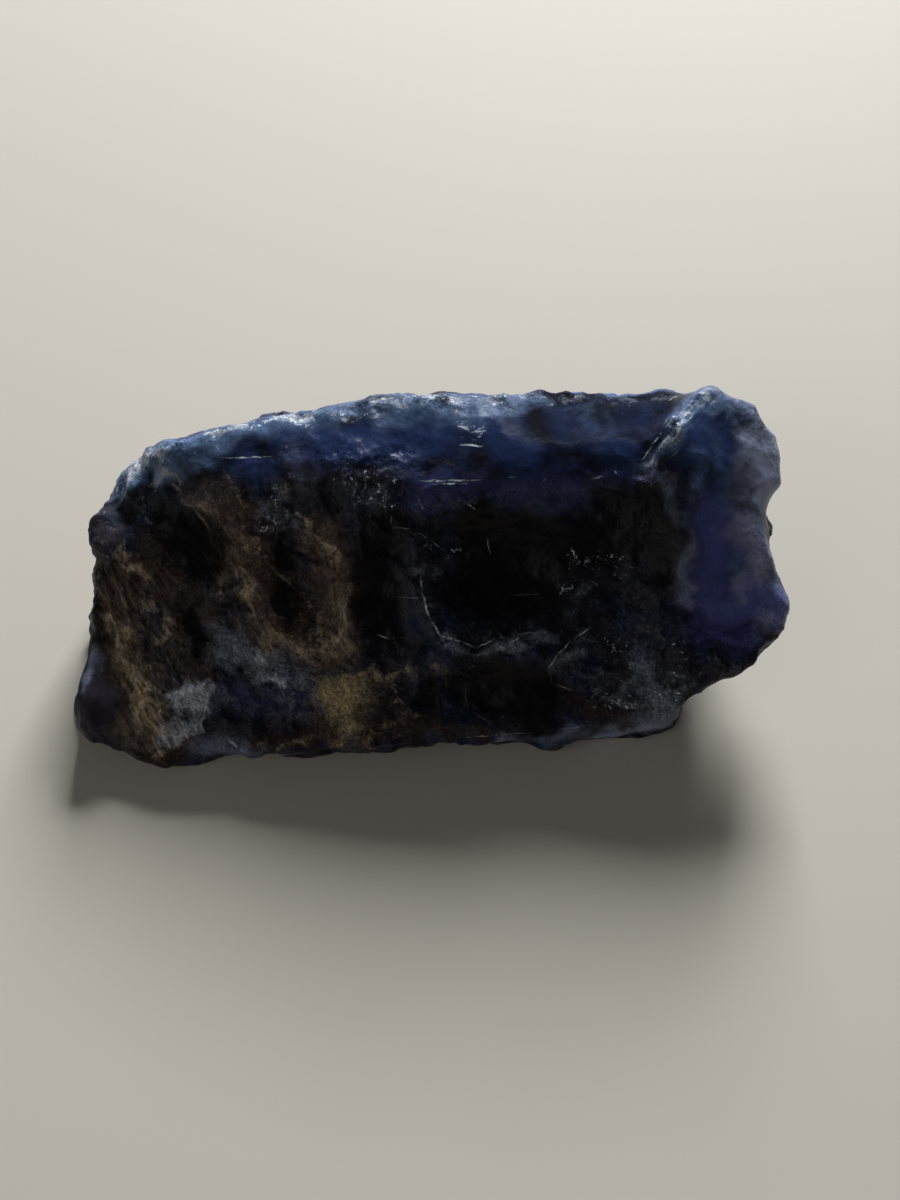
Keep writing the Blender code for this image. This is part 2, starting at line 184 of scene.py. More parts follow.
# Blue-grey crumbling rock.
MARKS["slate"] = (
    Mark(((206, 632), (225, 650), (262, 662)), 2.1, 1.05),
    Mark(((212, 694), (228, 706)), 1.2, 0.85),
    Mark(((248, 678), (264, 690)), 1.1, 0.6),
    Mark(((698, 674), (742, 662)), 1.1, 0.65),
    Mark(((570, 574), (606, 570), (640, 606)), 2.0, 0.45),
    Mark(((560, 399), (600, 397), (670, 398)), 0.9, 0.8),
    Mark(((668, 662), (676, 690)), 1.2, 0.6),
    Mark(((262, 655), (300, 675)), 1.8, 0.95),
    Mark(((270, 694), (296, 706)), 1.4, 0.7),
    Mark(((644, 666), (650, 690), (655, 712)), 2.3),
    Mark(((580, 640), (600, 690)), 2.6, 0.55),
    Mark(((275, 490), (290, 525), (262, 520)), 1.8, 0.7),
    Mark(((342, 462), (356, 482), (378, 502)), 1.8, 0.6),
    Mark(((388, 480), (404, 500)), 1.4, 0.45),
    Mark(((254, 503), (266, 522)), 1.2, 0.8),
    Mark(((292, 476), (292, 505)), 1.0, 0.5),
    Mark(((470, 655), (530, 640), (560, 620)), 1.8, 0.5),
    Mark(((600, 580), (640, 620), (690, 640)), 2.4, 0.4),
    Mark(((424, 548), (434, 560), (420, 590), (430, 620)), 0.8, 0.62),
    Mark(((438, 639), (470, 650), (500, 648)), 0.9, 0.9),
    Mark(((516, 640), (530, 638), (545, 634)), 1.2, 1.3),
    Mark(((558, 672), (568, 662), (588, 646)), 1.3),
    Mark(((470, 662), (490, 660)), 1.0, 0.6),
    Mark(((560, 604), (590, 598)), 1.4, 0.6),
    Mark(((360, 640), (400, 650), (440, 650)), 1.6, 0.5),
    Mark(((620, 700), (650, 712), (680, 700)), 1.4, 0.9),
    Mark(((135, 500), (150, 515)), 1.8, 0.5),
)
# Chalky broken patches, and painted highlights along the lit rim and the ledge beside the block.
MARKS["pale"] = (
    Mark(((180, 697), (205, 692), (207, 712)), 1.2),
    Mark(((190, 706), (200, 710)), 1.7),
    Mark(((192, 716), (184, 728), (168, 742)), 1.6),
    Mark(((256, 654), (266, 668), (278, 682)), 0.9, 0.85),
    Mark(((192, 434), (206, 431), (236, 427)), 0.8, 0.95),
    Mark(((268, 416), (322, 412)), 0.8, 0.95),
    Mark(((360, 400), (390, 396)), 0.7, 0.85),
    Mark(((425, 396), (458, 396)), 0.7, 0.9),
    Mark(((496, 397), (536, 396)), 0.7, 0.85),
    Mark(((104, 500), (120, 481), (142, 464)), 0.8, 0.8),
    Mark(((134, 478), (142, 470), (152, 462), (164, 454)), 1.1, 1.05),
    Mark(((212, 648), (236, 655)), 0.8, 0.5),
    Mark(((646, 460), (668, 436), (690, 412), (706, 398)), 0.55, 0.85),
    Mark(((145, 605), (156, 622)), 0.8, 0.5),
    Mark(((626, 700), (640, 712), (655, 706)), 0.8, 0.6),
    Mark(((516, 636), (530, 632)), 0.6, 0.7),
)
# Near-black ovals of the rock's own colour, and painted shade in the hollows.
MARKS["dark"] = (
    Mark(((172, 534), (190, 536), (206, 552)), 3.1),
    Mark(((166, 520), (205, 532)), 2.4, 0.95),
    Mark(((96, 570), (98, 610), (97, 640)), 1.2, 0.75),
    Mark(((284, 546), (290, 556)), 1.4),
    Mark(((280, 594), (292, 612)), 1.4),
    Mark(((234, 598), (242, 606)), 1.0),
    Mark(((188, 603), (194, 625), (200, 650)), 1.7, 0.85),
    Mark(((385, 525), (372, 580), (388, 640)), 2.6, 0.9),
    Mark(((480, 520), (472, 590), (535, 590)), 3.2, 0.9),
    Mark(((490, 530), (560, 552), (640, 535)), 3.6, 0.9),
    Mark(((600, 500), (645, 502), (664, 530), (662, 575)), 2.0, 0.9),
    Mark(((425, 690), (432, 694)), 1.4),
    Mark(((424, 470), (452, 466)), 1.1, 0.6),
    Mark(((480, 685), (540, 695), (530, 715)), 3.2),
    Mark(((606, 614), (612, 616)), 0.7),
    Mark(((690, 652), (735, 645)), 1.0, 0.6),
    Mark(((630, 412), (640, 445)), 1.4, 0.5),
    Mark(((84, 700), (98, 725)), 1.4, 0.5),
)
# The brighter royal blue, most of it on the block, where it is painted brighter than the lit top's blue as a
# glow of light through the waxy rock.
MARKS["royal"] = (
    Mark(((715, 510), (716, 565), (706, 600)), 2.4, 0.9),
    Mark(((706, 600), (706, 622)), 1.8, 0.5),
    Mark(((724, 605), (764, 600), (782, 612)), 2.6),
    Mark(((730, 550), (750, 560)), 2.4, 0.8),
    Mark(((750, 640), (715, 640)), 1.8, 0.8),
    Mark(((250, 470), (264, 484)), 1.2, 0.35),
    Mark(((205, 702), (300, 705)), 2.2, 0.35),
    Mark(((98, 690), (104, 715)), 1.8, 0.35),
    Mark(((430, 488), (540, 494), (620, 492)), 2.6, 0.5),
)
# The deeper blue of the lit top.
MARKS["deep"] = (
    Mark(((300, 440), (370, 440), (440, 440)), 2.6),
    Mark(((495, 420), (515, 445), (520, 468)), 2.6),
    Mark(((560, 415), (600, 440), (625, 460)), 2.2, 0.7),
    Mark(((690, 455), (705, 430), (728, 440), (728, 465)), 2.4),
    Mark(((240, 466), (266, 470), (256, 488)), 1.5, 0.9),
    Mark(((640, 410), (636, 450)), 2.4, 0.35),
    Mark(((545, 468), (600, 468), (640, 472)), 1.4, 0.6),
)
# Painted sheen: a pale blue haze in place of the shine of the lit rim and edges.
MARKS["painted_sheen"] = (
    Mark(((116, 492), (130, 478), (160, 458)), 1.1, 0.6),
    Mark(((125, 496), (150, 476)), 1.4, 0.45),
    Mark(((164, 464), (180, 456), (205, 450)), 1.4, 0.85),
    Mark(((142, 465), (180, 441), (230, 428), (290, 414), (345, 405)), 2.0),
    Mark(((112, 492), (138, 474), (160, 458)), 1.6, 1.1),
    Mark(((190, 444), (240, 432), (300, 420)), 1.4, 0.8),
    Mark(((300, 414), (350, 404), (440, 397), (530, 397)), 1.6, 0.8),
    Mark(((380, 410), (440, 412), (470, 420)), 1.9, 0.65),
    Mark(((590, 415), (605, 432)), 2.4, 0.42),
    Mark(((560, 405), (600, 402)), 1.4, 0.3),
    Mark(((690, 410), (720, 396), (745, 405)), 1.6, 0.95),
    Mark(((645, 463), (664, 441), (690, 413), (712, 391)), 1.0, 0.75),
    Mark(((692, 452), (700, 484)), 1.3, 0.6),
    Mark(((716, 440), (718, 476)), 1.8, 0.42),
    Mark(((728, 476), (724, 500)), 1.5, 0.5),
    Mark(((736, 556), (738, 572)), 1.4, 0.5),
    Mark(((650, 458), (668, 442), (686, 420)), 1.0),
    Mark(((430, 402), (470, 404), (520, 400)), 1.7, 0.9),
    Mark(((545, 748), (600, 738)), 0.9, 0.6),
    Mark(((200, 742), (240, 752)), 1.2, 0.4),
    Mark(((97, 656), (90, 666), (87, 682)), 1.0, 0.8),
)
# Painted glow and highlights: the block's right side, as if lit through the waxy rock, and thin edges that
# catch the light.
MARKS["painted_glow"] = (
    Mark(((760, 446), (768, 470), (766, 495)), 2.0, 0.95),
    Mark(((425, 400), (460, 402), (515, 402)), 1.1, 0.3),
    Mark(((776, 440), (779, 470), (776, 495)), 1.6, 1.2),
    Mark(((752, 455), (750, 500), (756, 525)), 2.0, 0.4),
    Mark(((746, 526), (766, 548), (770, 574)), 1.9, 0.7),
    Mark(((735, 588), (760, 578), (778, 584)), 0.9, 0.5),
    Mark(((772, 615), (785, 605)), 1.6, 0.45),
    Mark(((712, 386), (735, 394), (765, 425)), 1.1, 0.6),
    Mark(((690, 480), (698, 505)), 1.6, 0.16),
    Mark(((495, 742), (560, 738), (640, 728), (676, 718)), 1.0, 0.5),
    Mark(((600, 736), (640, 728), (668, 722), (678, 715)), 1.4, 0.85),
    Mark(((650, 478), (672, 498), (685, 525), (687, 560), (684, 605)), 1.1, 0.42),
    Mark(((298, 446), (306, 480)), 1.4, 0.22),
    Mark(((646, 466), (652, 482)), 0.9, 0.6),
    Mark(((192, 750), (222, 744), (246, 756)), 1.5, 0.42),
    Mark(((98, 655), (92, 662), (88, 676)), 1.1, 0.9),
)
# Where painted glints lie: pale specks in place of flashing crystal faces.
MARKS["glint"] = (
    Mark(((150, 462), (200, 440), (270, 420), (330, 400), (380, 395)), 0.7),
    Mark(((380, 395), (450, 396), (535, 396)), 1.1),
    Mark(((550, 396), (600, 396), (640, 400)), 0.9, 0.4),
    Mark(((196, 431), (228, 428), (252, 422)), 1.2),
    Mark(((272, 416), (318, 413)), 1.2),
    Mark(((362, 399), (390, 396)), 1.0),
    Mark(((450, 398), (465, 420), (485, 428)), 1.2, 0.9),
    Mark(((550, 482), (572, 488)), 0.9, 0.8),
    Mark(((586, 479), (614, 476)), 0.8, 0.95),
    Mark(((340, 458), (356, 476), (390, 500)), 2.0, 0.8),
    Mark(((272, 496), (284, 515), (262, 526)), 1.1, 0.8),
    Mark(((578, 558), (600, 560), (628, 566)), 1.2, 0.9),
    Mark(((555, 592), (575, 586), (600, 600)), 0.9, 0.8),
    Mark(((620, 650), (640, 690), (600, 700)), 2.0, 0.6),
    Mark(((622, 705), (650, 712), (676, 704)), 0.9, 0.9),
    Mark(((690, 640), (660, 690)), 1.6, 0.6),
    Mark(((425, 548), (450, 552), (470, 556)), 0.8, 0.7),
    Mark(((378, 632), (400, 642)), 0.8, 0.7),
    Mark(((440, 640), (470, 650), (500, 644)), 0.9, 0.7),
    Mark(((508, 638), (545, 632)), 1.2, 0.9),
    Mark(((230, 655), (260, 675), (300, 690)), 1.8, 0.5),
    Mark(((700, 398), (668, 432), (650, 458)), 0.9),
    Mark(((108, 500), (122, 484), (140, 472), (164, 454)), 1.0),
    Mark(((765, 418), (774, 432)), 0.6, 0.8),
)
# Where the painted glint specks lie close together.
MARKS["sparkle"] = (
    Mark(((136, 476), (150, 463), (164, 454)), 0.9, 0.8),
    Mark(((194, 434), (208, 431), (222, 430)), 0.8),
    Mark(((234, 427), (252, 422)), 0.6, 0.6),
    Mark(((271, 419), (288, 417), (303, 416)), 0.9),
    Mark(((291, 424), (298, 431)), 0.5, 0.8),
    Mark(((364, 400), (380, 399)), 0.6),
    Mark(((402, 398), (430, 398), (457, 402)), 0.8),
    Mark(((500, 398), (528, 399)), 0.6, 0.8),
    Mark(((453, 424), (470, 434), (484, 446)), 0.8, 0.8),
    Mark(((641, 464), (664, 440), (688, 418)), 0.7, 0.9),
    Mark(((700, 405), (712, 394)), 0.6, 0.8),
    Mark(((258, 490), (280, 505), (266, 520)), 1.0, 0.7),
    Mark(((340, 468), (366, 488), (388, 500)), 1.4, 0.25),
    Mark(((578, 556), (600, 562), (626, 566)), 0.9, 0.35),
    Mark(((620, 700), (640, 710), (660, 704)), 1.0, 0.6),
    Mark(((640, 640), (672, 634)), 0.8, 0.5),
)
# Where the skin is rubbed or waxy and nearly smooth.
MARKS["calm"] = (
    Mark(((700, 430), (735, 460), (720, 520), (730, 590)), 5.0),
    Mark(((760, 450), (765, 500)), 3.0),
    Mark(((560, 520), (500, 560), (600, 580)), 5.0, 0.7),
    Mark(((90, 690), (105, 710)), 2.6),
    Mark(((540, 742), (600, 735), (660, 725)), 1.2, 0.9),
    Mark(((380, 580), (400, 620)), 3.0, 0.6),
    Mark(((500, 690), (540, 700)), 2.4, 0.7),
    Mark(((100, 530),), 1.8, 0.8),
    Mark(((215, 748), (240, 755)), 1.2, 0.8),
    Mark(((140, 484), (200, 462), (300, 466), (400, 480), (500, 480), (620, 478)), 1.4, 0.9),
    Mark(((215, 446), (300, 430), (430, 425)), 2.4, 0.9),
    Mark(((430, 430), (520, 425), (640, 425)), 2.6),
    Mark(((430, 450), (530, 450), (630, 450)), 2.0),
    Mark(((92, 655), (110, 665)), 2.2, 0.9),
    Mark(((180, 532), (198, 545)), 2.0, 0.8),
)
# The dark, plum-blue lumps of the left end.
MARKS["plum"] = (
    Mark(((98, 686), (94, 702), (104, 728)), 1.7),
    Mark(((98, 520), (100, 545)), 1.8, 0.9),
)
# Where no smoky veil lies in the blue.
MARKS["clear"] = (
    Mark(((140, 480), (200, 452), (300, 432), (420, 425), (540, 430), (650, 430)), 4.0),
    Mark(((142, 467), (200, 433), (290, 414), (380, 396), (520, 396), (640, 396)), 2.6),
    Mark(((700, 430), (740, 480), (730, 560), (740, 620)), 4.6),
)
# Where the rock does not shine.
MARKS["dull"] = (
    Mark(((92, 520), (104, 530), (100, 545)), 2.4),
    Mark(((88, 655), (110, 662)), 2.6),
    Mark(((530, 416), (570, 416), (650, 416)), 2.2, 1.2),
    Mark(((545, 428), (600, 432), (640, 430)), 1.2),
    Mark(((550, 400), (600, 400), (660, 398)), 1.6),
)
# Where it shines most.
MARKS["glassy"] = (
    Mark(((510, 450), (560, 452), (640, 450)), 2.2),
    Mark(((350, 430), (420, 440), (500, 445)), 2.4, 0.7),
)
# Where the rock is drawn out in fibres.
MARKS["fibrous"] = (
    Mark(((104, 575), (130, 640), (155, 720)), 3.2),
    Mark(((150, 590), (170, 640), (190, 680)), 2.4, 0.7),
    Mark(((200, 520), (240, 590), (262, 640)), 1.8, 0.6),
    Mark(((330, 560), (340, 640)), 1.6, 0.5),
)
# Where the skin stands out further than the solid to reach the photograph's outline, in millimetres.
MARKS["full"] = (
    Mark(((136, 480), (144, 468), (156, 458)), 2.0, 0.75),
    Mark(((778, 610), (774, 626)), 1.6, 0.65),
)
# Low ridges, such as the hollow's rim.
MARKS["ridge"] = (
    Mark(((405, 535), (420, 570), (424, 600), (434, 626), (446, 640), (472, 648), (500, 640)), 0.7),
    Mark(((548, 670), (572, 645), (600, 626)), 0.7, 0.6),
    Mark(((112, 556), (130, 572), (152, 582)), 0.7, 0.8),
)

# The fine steps beside the block: how far out they are full, their pitch and depth. Then the ridges.
LEDGE = Mark(((706, 392), (672, 430), (644, 464)), 1.7)
LEDGE_CORE = 0.5
LEDGE_PITCH = 0.55
LEDGE_DEPTH = 0.06
RIDGE_HEIGHT = 0.2
# The pixels between a mark's points, and the multiple of its reach at which it ends.
MARK_SPACING = 5
MARK_FADE = 1.6

# Where a field is looked up, so that no mark has a straight edge: two sideways moves, by width and share.
SEED = 5
WANDERS = ((2.4, 1.15), (0.8, 0.5))


class Line(NamedTuple):
    """A thin straight mark: the photograph's pixels at its ends, half its width in millimetres, and how
    strong it is."""
    start: tuple
    end: tuple
    half_width: float
    strength: float = 1.0


# Bright scratches, edges and steps, drawn pale as painted highlights.
GLEAMS = (
    Line((214, 458), (282, 456), 0.09, 0.8),
    Line((410, 481), (489, 480), 0.13),
    Line((425, 484), (478, 483), 0.1, 0.9),
    Line((500, 478), (519, 477), 0.1, 0.5),
    Line((588, 478), (607, 476), 0.12, 0.6),
    Line((455, 444), (487, 446), 0.13),
    Line((452, 423), (471, 431), 0.12),
    Line((468, 432), (489, 431), 0.11),
    Line((458, 437), (478, 440), 0.09, 0.8),
    Line((476, 437), (484, 436), 0.1),
    Line((461, 499), (479, 512), 0.09, 0.7),
    Line((416, 494), (427, 517), 0.1, 0.5),
    Line((391, 513), (391, 527), 0.09, 0.45),
    Line((390, 527), (414, 529), 0.08, 0.55),
    Line((413, 529), (433, 542), 0.08, 0.4),
    Line((430, 539), (447, 553), 0.09, 0.5),
    Line((486, 533), (491, 559), 0.09, 0.5),
    Line((419, 566), (423, 596), 0.15, 0.5),
    Line((421, 590), (430, 620), 0.15, 0.95),
    Line((427, 614), (442, 639), 0.14),
    Line((438, 636), (464, 642), 0.13, 0.95),
    Line((461, 641), (476, 649), 0.11, 0.7),
    Line((473, 650), (499, 637), 0.11, 0.7),
    Line((512, 636), (538, 632), 0.2, 0.85),
    Line((554, 595), (577, 584), 0.08, 0.6),
    Line((546, 671), (558, 654), 0.14, 0.85),
    Line((555, 657), (574, 639), 0.12, 0.75),
    Line((571, 641), (596, 624), 0.1, 0.6),
    Line((606, 702), (613, 712), 0.08, 0.6),
    Line((222, 734), (249, 758), 0.22, 0.6),
    Line((99, 505), (109, 521), 0.08, 0.7),
    Line((382, 597), (449, 598), 0.12, 0.3),
    Line((500, 595), (550, 594), 0.09, 0.3),
    Line((376, 634), (392, 640), 0.09, 0.8),
    Line((255, 757), (322, 750), 0.1, 0.4),
    Line((450, 739), (542, 732), 0.11, 0.5),
    Line((536, 733), (604, 723), 0.1, 0.4),
    Line((318, 751), (452, 739), 0.09, 0.3),
    Line((640, 463), (653, 445), 0.14),
    Line((645, 467), (658, 453), 0.12, 0.7),
    Line((650, 446), (664, 431), 0.12, 0.8),
    Line((657, 450), (675, 430), 0.17),
    Line((668, 444), (682, 430), 0.14, 0.8),
    Line((674, 430), (687, 416), 0.13, 0.8),
    Line((664, 430), (676, 414), 0.1, 0.6),
    Line((685, 424), (697, 410), 0.12, 0.6),
    Line((694, 410), (712, 391), 0.12, 0.45),
    Line((666, 402), (682, 394), 0.1, 0.8),
    Line((684, 446), (664, 462), 0.1, 0.4),
)
# Thin beige veins.
THREADS = (
    Line((158, 470), (192, 502), 0.24, 0.5),
    Line((184, 496), (216, 538), 0.22, 0.5),
    Line((221, 464), (236, 490), 0.16, 0.5),
    Line((233, 486), (246, 512), 0.18, 0.5),
    Line((240, 566), (252, 604), 0.24, 0.7),
    Line((249, 598), (261, 636), 0.2, 0.7),
    Line((250, 610), (304, 623), 0.12, 0.4),
    Line((266, 564), (300, 592), 0.14, 0.4),
    Line((341, 600), (339, 648), 0.18, 0.5),
    Line((389, 678), (398, 698), 0.18, 0.7),
    Line((395, 693), (406, 710), 0.18, 0.7),
    Line((403, 706), (425, 718), 0.16, 0.6),
    Line((445, 670), (448, 699), 0.1, 0.4),
    Line((465, 686), (468, 711), 0.1, 0.4),
    Line((466, 708), (498, 728), 0.1, 0.4),
    Line((547, 668), (554, 686), 0.16, 0.5),
    Line((552, 683), (576, 692), 0.16, 0.5),
)

# How the side that the photograph does not show is marked: the width of the swell that draws each kind,
# where it sets in and is full, and how strong it is. Veins and browns follow the swell's zero lines.
UNSEEN_BANDS = {
    "vein": (9.0, 0.05, 0.005, 0.65),
    "brown": (11.0, 0.13, 0.03, 0.65),
}
UNSEEN_PATCHES = {
    "deep": (8.0, 0.0, 0.3, 1.0),
    "painted_sheen": (6.0, 0.15, 0.5, 0.6),
    "slate": (7.0, 0.2, 0.5, 0.6),
    "tan": (5.0, 0.36, 0.6, 0.6),
    "glint": (5.0, 0.15, 0.45, 0.5),
    "calm": (9.0, 0.15, 0.4, 0.8),
    "dull": (7.0, -0.3, 0.2, 0.7),
    "clear": (9.0, -0.5, 0.3, 0.9),
}
# How far the skin faces away where it sets in and is full, and how far apart two swells are drawn.
UNSEEN_FACING = (0.25, 0.6)
UNSEEN_APART = Vector((17.0, -9.0, 5.0))

# The painted sheen of the lit rim goes on a little way behind it, where the skin faces back towards the
# window, and turns to a fuller blue: how far back the skin faces where this sets in and is full, how far the
# painted sheen and the fuller blue reach and how strong they are, and the width and depth of the swell that
# frays the painted sheen.
RIM_PIXELS = (
    (125, 480), (142, 464), (180, 440), (230, 427), (290, 413), (345, 403),
    (440, 397), (530, 397), (640, 397), (690, 398), (735, 390),
)
RIM_FACING = (0.35, 0.75)
RIM_PAINTED_SHEEN = Mark(RIM_PIXELS, 3.2, 0.95)
RIM_BLUE = Mark(RIM_PIXELS, 6.0, 0.75)
RIM_SWELL = (3.0, 0.8)

# Colours of the stone, linear.
NAVY = (0.0055, 0.0062, 0.013)
BLUE = (0.010, 0.016, 0.046)
SMOKE = (0.062, 0.054, 0.064)
STREAK = (0.24, 0.18, 0.11)
PIT = (0.006, 0.005, 0.007)
DEEP_BROWN = (0.022, 0.013, 0.009)
# Painted glints: the pale specks that stand in for small crystal faces flashing.
PAINTED_GLINT = (0.68, 0.75, 0.82)
WORN = (0.16, 0.21, 0.31)
# Painted highlights along scratches, edges and steps.
GLEAM = (0.62, 0.72, 0.76)
THREAD = (0.36, 0.29, 0.21)


class Layer(NamedTuple):
    """How a field colours the stone: which noise frays its edge, the values at which it sets in and is
    full, how far the noise frays it, how much it covers, and its colour."""
    field: str
    fray: str
    low: float
    high: float
    fraying: float
    cover: float
    colour: tuple


# From the first laid to the last.
LAYERS = (
    Layer("deep", "coarse", 0.1, 1.1, 0.7, 0.9, (0.020, 0.038, 0.115)),
    # Royal blue, painted brighter on the shaded block as glow.
    Layer("royal", "coarse", 0.1, 1.1, 0.7, 0.9, (0.075, 0.09, 0.29)),
    # Painted sheen, pale blue.
    Layer("painted_sheen", "middle", 0.15, 1.1, 0.8, 0.9, (0.11, 0.18, 0.33)),
    # Painted glow and highlights, pale lilac-blue.
    Layer("painted_glow", "middle", 0.02, 1.1, 0.35, 0.95, (0.36, 0.4, 0.58)),
    Layer("brown", "ragged", 0.3, 0.85, 1.6, 0.88, (0.060, 0.036, 0.024)),
    Layer("veil", "ragged", 0.2, 1.2, 2.2, 0.65, (0.17, 0.13, 0.1)),
    Layer("slate", "crumbly", 0.4, 1.1, 2.8, 0.9, (0.15, 0.165, 0.21)),
    Layer("vein", "ragged", 0.45, 1.1, 2.8, 0.9, (0.36, 0.28, 0.195)),
    Layer("tan", "ragged", 0.25, 1.1, 1.4, 0.9, (0.38, 0.3, 0.15)),
    Layer("plum", "middle", 0.2, 0.7, 0.5, 0.92, (0.040, 0.034, 0.048)),
    # Near-black: the rock's own ovals, and painted shade in the hollows.
    Layer("dark", "ragged", 0.2, 0.8, 0.9, 0.97, (0.0052, 0.0038, 0.0042)),
    # Chalky patches, and painted highlights on the rim and ledge.
    Layer("pale", "crumbly", 0.4, 1.1, 2.4, 0.95, (0.45, 0.48, 0.54)),
)
# The matt kinds, which are rougher than the waxy blue.
MATT = ("vein", "tan", "pale", "slate")


class Grain(NamedTuple):
    """A noise of the material: its lumps' width in millimetres, its detail and roughness, the values at
    which it sets in and is full, how far it is moved so that no two agree, and the share by which it is
    drawn out along the fibres."""
    width: float
    detail: float
    roughness: float
    low: float = 0.0
    high: float = 1.0
    shift: float = 0.0
    drawn: float = 0.0


SHIFT_WAY = (1.0, -0.7, 1.3)

# The noises that fray the layers, and how they are put together.
COARSE_GRAIN = Grain(5.0, 5, 0.6)
MIDDLE_GRAIN = Grain(1.6, 6, 0.65, shift=13.0)
FINE_GRAIN = Grain(0.5, 5, 0.65, shift=31.0)
CRUMB_GRAIN = Grain(0.6, 8, 0.8, shift=23.0)
STRAND_GRAIN = Grain(0.42, 5, 0.65, drawn=0.86)
TORN_EDGE = (0.1, 0.7)
SMALL_SHARE = 0.6

# The ground and what lies on it: where each colour sets in and is full, and how much it covers.
BLUE_EDGE = (0.4, 0.68)
SMOKE_GRAIN = Grain(1.1, 8, 0.78, 0.42, 0.74, shift=77.0)
SMOKE_COVER = 0.7
DEEP_BROWN_EDGE = (0.35, 0.65)
STREAK_GRAIN = Grain(0.3, 4, 0.7, 0.5, 0.66, drawn=0.9)
STREAK_COVER = 0.65
PIT_GRAIN = Grain(0.42, 5, 0.75, 0.5, 0.72, shift=67.0)
PIT_COVER = 0.75
WORN_EDGE = (0.35, 1.0)
WORN_GRAIN_EDGE = (0.5, 0.68)
WORN_COVER = 0.4
# How much less calm places show their pits, grit and small relief.
CALM_LOOKS = 0.85

# The painted glint specks: the finer and the coarser ones, their groups, where they lie, and what a sparkle
# adds.
DOT_GRAIN = Grain(0.34, 5, 0.85, 0.62, 0.7, shift=51.0)
FLASH_GRAIN = Grain(0.42, 3, 0.7, 0.59, 0.66, shift=59.0)
GROUP_GRAIN = Grain(1.1, 3, 0.6, 0.4, 0.62, shift=61.0)
GLINT_EDGE = (0.3, 0.9)
GLINT_FRAYING = 1.8
SPARKLE_MORE = 0.08
SPARKLE_WIDER = 0.2

# The thin lines: how deep in they still show, where they set in, how they swing and where they break.
LINE_REACH = 1.5
LINE_EDGE = (0.03, 0.8)
SWING_GRAIN = Grain(0.7, 2, 0.5)
SWING = 0.3
BREAK_GRAIN = Grain(0.8, 5, 0.7, 0.38, 0.56, shift=93.0)

# The grit: how far it lightens and darkens, and the share of splinters without fibres and added by them.
GRIT_GRAIN = Grain(0.22, 4, 0.75, 0.3, 0.7, shift=83.0)
SPLINTER_GRAIN = Grain(0.32, 5, 0.75, 0.36, 0.64, drawn=0.78)
GRIT = 1.7
SPLINTERS_LEAST = 0.25
SPLINTERS_MORE = 0.5

# The shine: the least roughness of the waxy rock, its spread, and what glass, matt and dull places do.
WAXY = 0.24
WAXY_SPREAD = 0.25
GLASSY_SMOOTHER = 0.4
MATT_ROUGHER = 0.3
DULL_ROUGHER = 0.65
IOR = 1.5
GLOSS = 0.13

# The bump: its depth, its cells, and the shares of the fine noise and of the cells in it.
BUMP_DEPTH = 0.16
BUMP_CELL = 0.55
BUMP_BY_GRAIN = 0.6
BUMP_BY_CELLS = 0.5

# The floor, its side in metres.
FLOOR_COLOUR = (0.66, 0.61, 0.53)
FLOOR_ROUGHNESS = 0.75
FLOOR_SIDE = 4.0


class Lamp(NamedTuple):
    """A soft rectangular light that faces the stone: its place and sides in metres, power and colour."""
    name: str
    place: tuple
    sides: tuple
    power: float
    colour: tuple


# A window behind the stone, and weak light from the room's other side and from all round.
LAMPS = (
    Lamp("window", (0.09, 0.57, 0.33), (0.24, 0.2), 6.6, (0.95, 0.98, 1.0)),
    Lamp("room", (-0.55, -0.45, 0.35), (0.6, 0.6), 0.9, (1.0, 0.97, 0.93)),
)
SKY_COLOUR = (0.95, 0.97, 1.0)
SKY_STRENGTH = 0.05


def ease(value, low, high):
    """Rises smoothly from 0 at low to 1 at high, for numbers and arrays."""
    share = np.clip((value - low) / (high - low), 0.0, 1.0)
    return share * share * (3 - 2 * share)


def sight_axes():
    """The directions right, up and towards the eye of the photograph's view."""
    right = Vector((1, 0, 0))
    towards = Vector((0, -math.cos(SIGHT_ELEVATION), math.sin(SIGHT_ELEVATION)))
    return right, towards.cross(right), towards


def eye_place():
    """Where the photograph was taken from."""
    return LOOK_AT + sight_axes()[2] * EYE_DISTANCE


def under_pixel(skin, pixel):
    """Where the sight line through a pixel meets the stone, or else the place on the stone nearest to it."""
    right, up, _ = sight_axes()
    across = (pixel[0] - PHOTO_CENTRE[0]) / PIXELS_PER_MM
    above = (PHOTO_CENTRE[1] - pixel[1]) / PIXELS_PER_MM
    aimed = LOOK_AT + right * across + up * above
    hit = skin.ray_cast(eye_place(), (aimed - eye_place()).normalized())[0]
    return hit or skin.find_nearest(aimed)[0]


def along_mark(skin, mark):
    """Points on the stone, close together, along a mark."""
    points = [under_pixel(skin, mark.pixels[0])]
    for start, end in zip(mark.pixels, mark.pixels[1:]):
        steps = max(1, round(math.dist(start, end) / MARK_SPACING))
        for i in range(1, steps + 1):
            share = i / steps
            points.append(under_pixel(skin, [a + (b - a) * share for a, b in zip(start, end)]))
    return points


def distances(places, points):
    """How far each place is from the nearest of the points."""
    tree = kdtree.KDTree(len(points))
    for i, point in enumerate(points):
        tree.insert(point, i)
    tree.balance()
    return np.array([tree.find(place)[2] for place in places])


def wandering(places):
    """The places moved sideways a little, each its own way."""
    noise.seed_set(SEED)
    moved = []
    for place in places:
        for width, share in WANDERS:
            place = place + noise.noise_vector(place / width) * share
        moved.append(place)
    return moved


def field(skin, places, marks):
    """How near each place is to any of the marks, from 0 to each mark's strength."""
    found = np.zeros(len(places))
    for mark in marks:
        away = distances(places, along_mark(skin, mark))
        found = np.maximum(found, mark.strength * (1 - ease(away, 0, mark.reach * MARK_FADE)))
    return found


def as_array(items, name):
    """A vector of each of the items, as an array."""
    flat = np.empty(len(items) * 3, np.float32)
    items.foreach_get(name, flat)
    return flat.reshape(-1, 3).astype(float)


